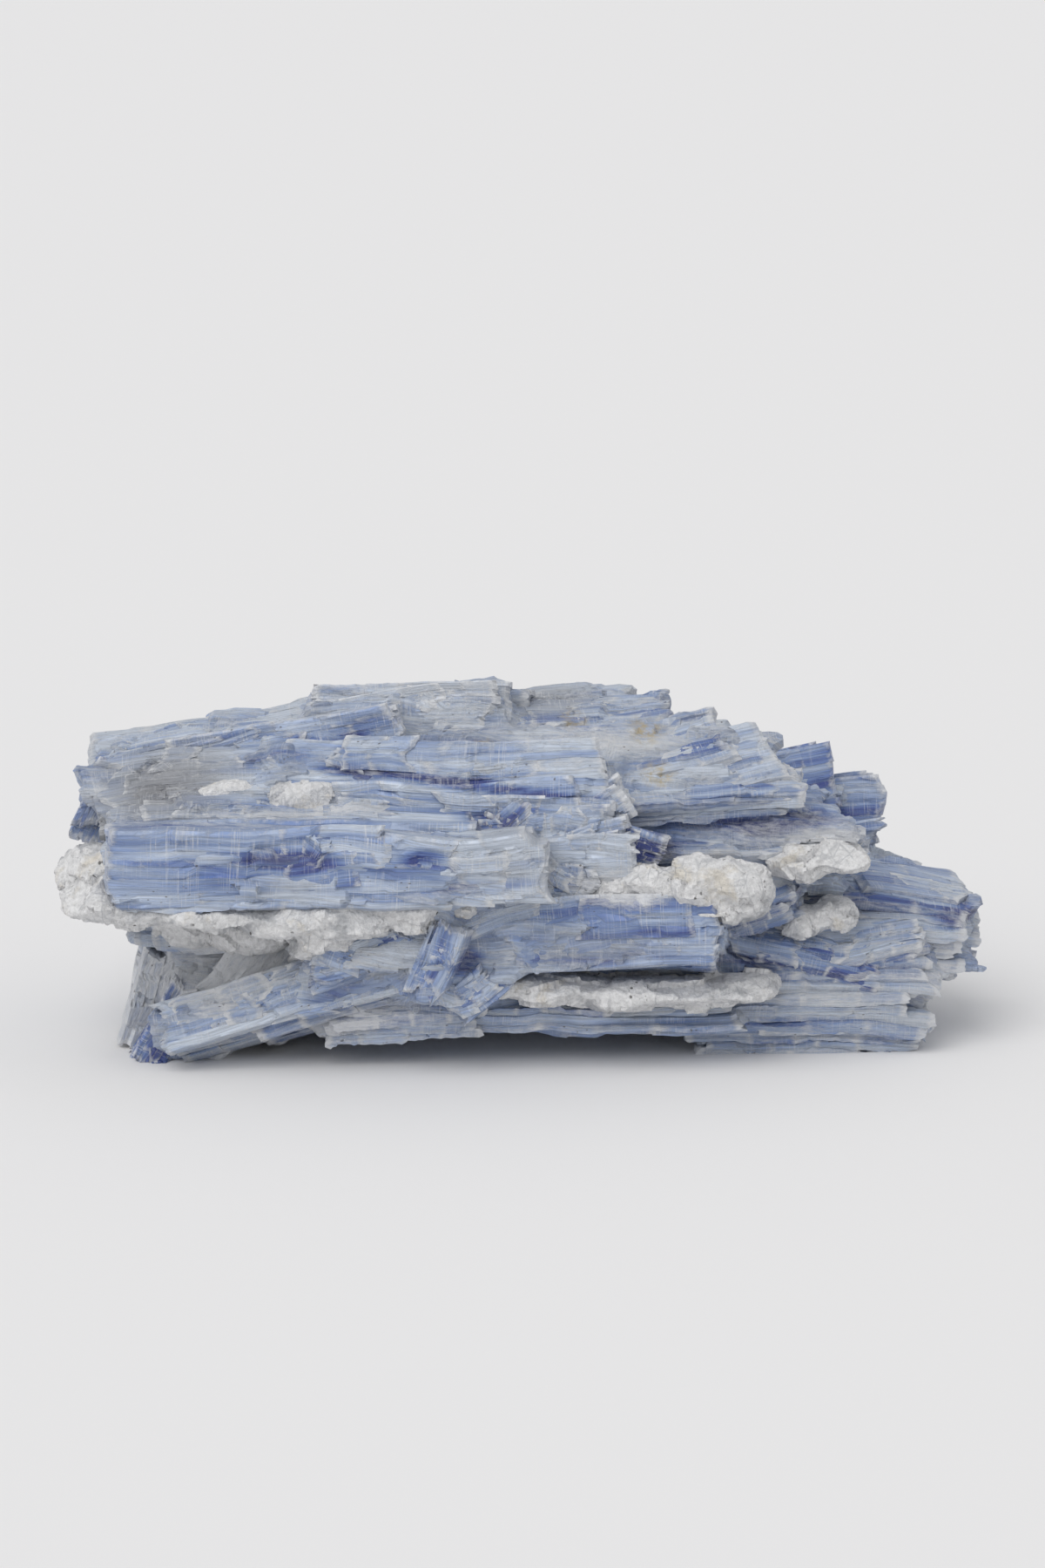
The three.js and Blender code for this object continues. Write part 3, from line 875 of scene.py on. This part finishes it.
# %% Where the sheaves lie
SHEAVES = {
    "front_blades": [
        ("front_long", (6, 7.5, 24.4), (50, 6.7, 25.0), 9.2, 10, 6, 3,
         dict(blue=0.36, relief=0.05, laths=9, flakes=0.35, ragged=1.5, frost=0.05)),
        ("front_tip", (36, 7.3, 24.9), (58.5, 6.9, 24.9), 8.4, 9, 4, 2, dict(blue=0.0, ragged=1.6)),
        ("front_top", (6, 12.5, 27.6), (50, 12.5, 28.4), 8, 4, 62, 3, {}),
    ],
    "upper_left_blades": [
        ("upper_left", (4, 19, 29.2), (29, 19, 31.2), 9, 7, 55, 4, dict(blue=0.05, ragged=2.2)),
        ("left_edge", (3.6, 21, 24), (7.2, 24, 33.4), 6, 3, 10, 2, dict(blue=0.6, flakes=0)),
        ("left_shoulder", (2.6, 29, 28.6), (38, 31, 32.4), 15, 11, 84, 5, dict(blue=0.1)),
        ("ridge", (13, 24, 31.6), (41, 25, 37.2), 7, 8, 12, 4, dict(blue=0.5)),
    ],
    "crest_blades": [
        # the crest's low blue and extra frost are partly its own whiter colour and partly painted light on
        # the stone's top
        ("crest", (29, 34, 35.7), (54, 34, 36.9), 7.2, 11, 24, 4, dict(blue=0.1, frost=0.3)),
        ("step", (49, 35, 33.6), (74.4, 35, 35.6), 11, 6, 82, 3, {}),
        ("back_right", (48, 42.5, 33.6), (69.6, 43, 35.4), 9, 6, 86, 3, dict(blue=0.0)),
        ("back_upper", (16, 39, 32.6), (57, 42, 34.8), 12, 6.6, 104, 3, {}),
    ],
    "upper_centre_blades": [
        ("upper_centre", (25, 19, 32.2), (66, 19, 31), 8.4, 9, 38, 4, dict(blue=0.15)),
        ("upper_centre_low", (32, 17, 28.6), (65, 17, 28), 8, 10, 14, 4, {}),
        ("centre_upper", (43, 16, 27.8), (67, 16, 26.8), 7.4, 10, 12, 4, {}),
        ("splinters", (50.6, 12.6, 25.6), (51.6, 12.4, 30.4), 7, 3, 0, 3, dict(blue=0.6, ragged=2)),
        ("fan_shard", (62.4, 14, 27.9), (67.8, 13.6, 31.6), 4.6, 3, 8, 2, dict(frost=0.3)),
        ("royal_shard", (64, 13.6, 26.8), (72, 13, 24.6), 3.6, 4, 6, 2, dict(blue=0.75)),
        ("middle_shard", (58, 12.6, 24.8), (68, 12, 27.6), 3.4, 4, 4, 2, dict(frost=0.25)),
        ("lower_shard", (56, 9.6, 22.6), (64, 9.4, 21.2), 4, 4, 10, 2, dict(blue=0.35)),
        ("centre_lower", (45, 14, 22.4), (69, 14, 23.2), 8.4, 11, 4, 4, dict(blue=0.1)),
    ],
    "slanting_blades": [
        ("slanting_low", (12, 12.5, 2.6), (37, 12, 10.4), 6, 9, 28, 5, dict(flakes=2, ragged=1.8)),
        ("slanting_mid", (22, 12.5, 5.6), (49, 11.5, 12.8), 6.6, 9, 24, 5,
         dict(blue=0.35, flakes=2, ragged=2)),
        ("slanting_high", (29, 12, 10.4), (58, 11, 21.8), 7, 10, 20, 5, dict(flakes=2, ragged=2)),
        ("slanting_slab", (31, 8.4, 12.3), (43, 8, 15.7), 4.2, 7, 8, 2, dict(blue=0.3)),
        ("steep_cross", (43.4, 8, 8.6), (47, 8, 18.4), 4.4, 9, 6, 3, dict(blue=0.5)),
        ("corner_block", (47, 9.5, 7), (52.6, 9.5, 12.2), 4.4, 8, 6, 3, {}),
        ("wavy_rim", (31, 13, 5.3), (51, 13, 6.6), 9, 3.6, 74, 3, {}),
    ],
    "recess_blades": [
        ("left_foot", (9.4, 15, -2), (16.4, 16.5, 9.4), 4, 6, 4, 3, dict(blue=0.8)),
        ("recess", (13, 17.5, -1), (29, 16.5, 15), 9, 7, 6, 4, dict(frost=0.45, ragged=2, flakes=2)),
        ("recess_inner", (21, 19.5, 2), (36, 18, 15), 9, 7, 4, 4,
         dict(frost=0.4, ragged=2.4, flakes=2.5)),
        ("recess_wall", (9.6, 23, -1), (15, 22, 17), 7, 10, 0, 3,
         dict(frost=0.5, grey=0.2, ragged=2)),
        ("recess_roof", (8, 20, 18.4), (40, 20, 18.4), 14, 9, 88, 3, {}),
        ("recess_back", (10, 29, 10), (44, 28, 10.6), 15, 11, 4, 2, {}),
    ],
    "lower_front_blades": [
        ("lower_slab", (50, 11, 15.4), (79.4, 10.6, 16.4), 8.6, 11, 8, 4,
         dict(blue=0.48, ragged=1.8, frost=0.05)),
        ("base_rim", (35, 18, 5.3), (82, 18, 5.5), 17, 3.6, 88, 4, dict(ragged=2, flakes=1.5)),
    ],
    "upper_right_fan": [
        ("fan_top", (58, 27, 28.6), (80.4, 29, 34.2), 12, 6.4, 66, 4, dict(frost=0.2)),
        ("fan_mid", (59, 23.5, 27.4), (85.6, 26, 32.4), 11, 6, 62, 4, dict(frost=0.2)),
        ("fan_low", (60, 20, 28.4), (88.4, 21.5, 31.0), 9, 2.8, 78, 3, {}),
        ("ledge", (60, 19.5, 23.5), (96, 20.5, 24.3), 11, 3.2, 82, 3, dict(frost=0.25, ragged=1.8)),
        ("back_blue_high", (74, 38.5, 25.4), (92.6, 40, 28), 8, 8, 14, 4, dict(blue=0.6)),
        ("back_blue_low", (77, 41, 21.6), (98.8, 42, 24), 8.6, 8, 14, 4, dict(blue=0.6)),
    ],
    "right_blades": [
        ("blue_chunk", (75, 18, 15.8), (87.4, 19, 19.6), 8, 4.4, 70, 3, dict(blue=0.5)),
        ("right_top", (72, 30, 16.4), (109.6, 31, 13), 15, 7, 80, 6, dict(ragged=2.4, frost=0.2)),
        ("right_mid", (70, 24, 12.8), (109.4, 26, 11.4), 13, 6, 80, 5,
         dict(blue=0.28, ragged=2.4, frost=0.22)),
        ("right_low", (68, 20, 10.4), (105, 22, 8.8), 13, 5.4, 76, 5, dict(ragged=2.4, frost=0.25)),
        ("right_cross", (79, 17, 12.6), (97, 17.5, 8.4), 5, 4, 60, 3, dict(blue=0.5, ragged=2)),
        ("right_lift", (84, 18, 8.6), (103, 19, 12.4), 5, 4, 62, 3, dict(frost=0.25, ragged=2)),
        ("right_base", (70, 19.5, 6.2), (103.6, 22, 5.4), 13, 4.8, 80, 4, dict(ragged=2.4, frost=0.25)),
        ("right_foot", (74, 22, 1.6), (102.4, 24, 1.2), 15, 4.6, 88, 4, dict(ragged=2.4, frost=0.2)),
    ],
    "back_blades": [
        ("back_long", (5, 42, 24), (63, 44, 26.4), 12.4, 11, -8, 5, {}),
        ("back_slanting", (14, 41, 8), (62, 42.5, 15.4), 11, 11, -14, 5, {}),
        ("back_right_long", (50, 42, 15), (104.6, 39, 12.4), 11, 12, -10, 5, {}),
        ("back_mid", (54, 43, 24.4), (90, 42, 20.4), 10, 9, -6, 4, {}),
        ("back_rim", (26, 38, 5.6), (96, 38, 5.8), 10, 5, 92, 3, {}),
        ("back_left_foot", (15, 38, 0.8), (39, 40, 2), 9, 6, 90, 3, {}),
        ("back_right_foot", (66, 39, 1.6), (92, 38, 1), 9, 5.6, 90, 3, {}),
    ],
}

SMALLEST_BIT = 600  # faces: more than one flake has
rng = np.random.default_rng(11)
for piece_name, sheaves in SHEAVES.items():
    blades = [blade for sheaf in sheaves for blade in grow_sheaf(sheaf, rng)]
    piece = join_all(piece_name, blades)
    drop_crumbs(piece, SMALLEST_BIT)
    cut_at_ground(piece)
    finish_piece(piece, kyanite, "kyanite_blades")
    print(piece_name, "has", len(piece.data.polygons), "faces")

for blank in (blade_blank, flake_blank):
    bpy.data.objects.remove(blank["object"])

# %% [markdown]
# ## Rubble between the blades
# Between the whole blades lies a mass of crumbled ones. A merged copy of the frame's plain blades is
# the quickest way to fill exactly what they fill. It is swelled until narrow clefts close, meshed as
# one skin, drawn in again until the whole blades stand out of it, and roughened by stepped noise that
# is drawn out along the stone.

# %% Rubble
RUBBLE_MESH = 0.0006
CLEFT_FILL = 2.2  # millimetres: clefts narrower than twice this are filled
RUBBLE_DEPTH = 0.50  # millimetres that the rubble lies below the plain blades


def mesh_evenly(piece, size):
    select_only(piece)
    even = piece.modifiers.new("even", "REMESH")
    even.mode = "VOXEL"
    even.voxel_size = size
    bpy.ops.object.modifier_apply(modifier="even")


def roughen(piece, depth, coats):
    """Draws every point in by a depth and then moves it along its normal. Each coat is (strength, size,
    kind, seed): smooth noise or flat chips of that size in millimetres."""
    points = read_layout_points(piece.data)
    normals = np.empty(len(piece.data.vertices) * 3)
    piece.data.vertices.foreach_get("normal", normals)
    push = np.full(len(points), -float(depth))
    for strength, size, kind, seed in coats:
        if kind == "chips":
            push += strength * chip_noise(points, np.array(size), seed).clip(-1.2, 1.2)
        else:
            push += strength * rock_noise(points, np.array(size), seed)[:, 0]
    points = points + push[:, None] * normals.reshape(-1, 3)
    write_layout_points(piece.data, points)


def map_rubble(piece):
    """Gives rubble the two maps of a blade, with lines that run along the stone."""
    points = read_layout_points(piece.data)
    mottle = rock_noise(points, np.array((7, 4, 2.4)), 24)
    grain = np.stack([points[:, 0], points[:, 2] + 0.6 * points[:, 1]], axis=1) + mottle[:, :2]
    # the blue streaks also add painted shade, as a deeper blue in the mouth of the cleft
    blue = 0.25 + 0.35 * mottle[:, 0] + soft_spots(points, BLUE_STREAKS_AND_CLEFT_SHADE)
    grey = 0.10 + 0.15 * mottle[:, 1] + soft_spots(points, GREY_PATCHES)
    frost = 0.30 + 0.30 * mottle[:, 2] + soft_spots(points, FROST_PATCHES)
    maps = np.stack([blue, grey, frost, np.ones(len(points))], axis=1).clip(0, 1)
    piece.data.uv_layers.new(name="Grain")
    write_maps(piece.data, read_corners(piece.data), grain, maps)


rubble_mesh = frame["nodes"]["kyanite_blades"].data.copy()
rubble = bpy.data.objects.new("blade_rubble", rubble_mesh)
bpy.context.scene.collection.objects.link(rubble)
select_only(rubble)
bpy.ops.object.mode_set(mode="EDIT")
bpy.ops.mesh.select_all(action="SELECT")
bpy.ops.mesh.remove_doubles(threshold=0.00001)
bpy.ops.object.mode_set(mode="OBJECT")
mesh_evenly(rubble, 1.4 * RUBBLE_MESH)
roughen(rubble, -CLEFT_FILL, [])
mesh_evenly(rubble, RUBBLE_MESH)
roughen(rubble, CLEFT_FILL + RUBBLE_DEPTH, [])
mesh_evenly(rubble, RUBBLE_MESH)
roughen(rubble, 0, [(0.55, (11, 4, 2.6), "chips", 21), (0.35, (5, 2.2, 1.2), "chips", 22),
                    (0.10, 0.9, "smooth", 23)])
cut_at_ground(rubble)
drop_crumbs(rubble, SMALLEST_BIT)
map_rubble(rubble)
finish_piece(rubble, kyanite, "kyanite_blades")
print("rubble has", len(rubble.data.polygons), "faces")

# %% [markdown]
# ## Quartz lumps
# Massive quartz breaks in chips with no direction. Each lump is heaped from a few round blanks, has
# chips sliced off each of them by flat cuts, is meshed evenly into one skin, and is then roughened by
# coarse and fine noise.

# %% Chip the quartz
CHIPS = 18
QUARTZ_MESH = 0.00030
QUARTZ_COATS = [(0.45, (5.5, 4.2, 3.4), "chips", 31), (0.16, (2.4, 2, 1.6), "chips", 32),
                (0.04, 0.9, "chips", 33), (0.03, 0.5, "smooth", 34)]
# place in the layout and half sizes of each blank of a lump
QUARTZ_LUMPS = {
    "quartz_left_tip": [((4.6, 14, 22.4), (4.4, 7, 3.4)), ((7.0, 7.8, 20.8), (6.4, 6.2, 2.4)),
                        ((6.6, 8.2, 23.2), (4.2, 5.8, 3.4))],
    "quartz_front_band": [((12, 7.2, 19.8), (8, 5.6, 1.9)), ((19, 6.8, 19.6), (8, 5.8, 2.3)),
                          ((27, 6.4, 19.2), (8, 5.8, 2.5)), ((34, 6.6, 19.0), (8, 5.8, 2.4)),
                          ((42, 7.4, 19.4), (8, 5.6, 2.1)), ((31.6, 7.2, 16.8), (4.8, 4.4, 3.8)),
                          ((47, 8.4, 20.2), (5, 5, 1.9))],
    "quartz_recess_lump": [((31.6, 11, 13.6), (5, 4.4, 2.4)), ((24, 14.6, 15.4), (6, 5, 3.0)),
                           ((17, 15.6, 16.2), (6, 5, 2.6))],
    "quartz_upper_patch": [((30.4, 15.9, 30.8), (6.4, 4, 2.5)), ((34.4, 16.1, 31.2), (5, 4, 2.2)),
                           ((21, 16.7, 31.2), (6.4, 4, 1.8))],
    "quartz_centre_lump": [((70.6, 8.8, 22.4), (5.6, 4.6, 2.4)), ((76, 8.4, 22.0), (6.4, 5, 3.4)),
                           ((79.4, 8.6, 21.8), (4.8, 4.6, 4.0)), ((76.4, 8, 19.8), (5, 4, 2.4)),
                           ((66.4, 9.9, 21.8), (3.6, 4, 1.4))],
    "quartz_ledge_lens": [((87.4, 15.6, 22.9), (4.8, 5, 1.6)), ((91, 16, 23.5), (5.6, 5, 1.6)),
                          ((89, 16.2, 24.4), (5, 5, 1.2))],
    "quartz_right_dome": [((88.6, 18.8, 15.4), (4.8, 4.2, 1.7)), ((91.4, 18.8, 16.2), (3.8, 4.2, 1.9))],
    "quartz_base_seam": [((53, 10.6, 9.9), (8, 6, 1.3)), ((60, 10.6, 9.3), (9, 6, 1.7)),
                         ((67, 10.6, 8.9), (9, 6, 1.8)), ((74, 11, 8.9), (8, 6, 1.8)),
                         ((80, 11.8, 9.4), (6, 6, 1.2))],
}


def chip_lump(name, heaps, rng):
    """A rough, chipped lump heaped from round blanks."""
    blanks = []
    for middle, half in heaps:
        clear_selection()
        bpy.ops.mesh.primitive_ico_sphere_add(subdivisions=4, radius=MM, location=place(middle), scale=half)
        blank = bpy.context.object
        bpy.ops.object.transform_apply(location=True, rotation=True, scale=True)
        bpy.ops.object.mode_set(mode="EDIT")
        for _ in range(CHIPS):
            facing = Vector(rng.normal(size=3)).normalized()
            reach = math.sqrt(sum((facing[axis] * half[axis]) ** 2 for axis in range(3))) * MM
            bpy.ops.mesh.select_all(action="SELECT")
            bpy.ops.mesh.bisect(plane_co=place(middle) + facing * reach * rng.uniform(0.66, 0.97),
                                plane_no=facing, clear_outer=True, use_fill=True)
        bpy.ops.object.mode_set(mode="OBJECT")
        blanks.append(blank)
    for blank in blanks:
        blank.select_set(True)
    bpy.context.view_layer.objects.active = blanks[0]
    if len(blanks) > 1:
        bpy.ops.object.join()
    piece = blanks[0]
    piece.name = name
    mesh_evenly(piece, QUARTZ_MESH)
    roughen(piece, 0, QUARTZ_COATS)
    drop_crumbs(piece, SMALLEST_BIT)
    return piece


for node, heaps in QUARTZ_LUMPS.items():
    piece = chip_lump(node + "_chipped", heaps, rng)
    finish_piece(piece, quartz, node)
    print(piece.name, "has", len(piece.data.polygons), "faces")
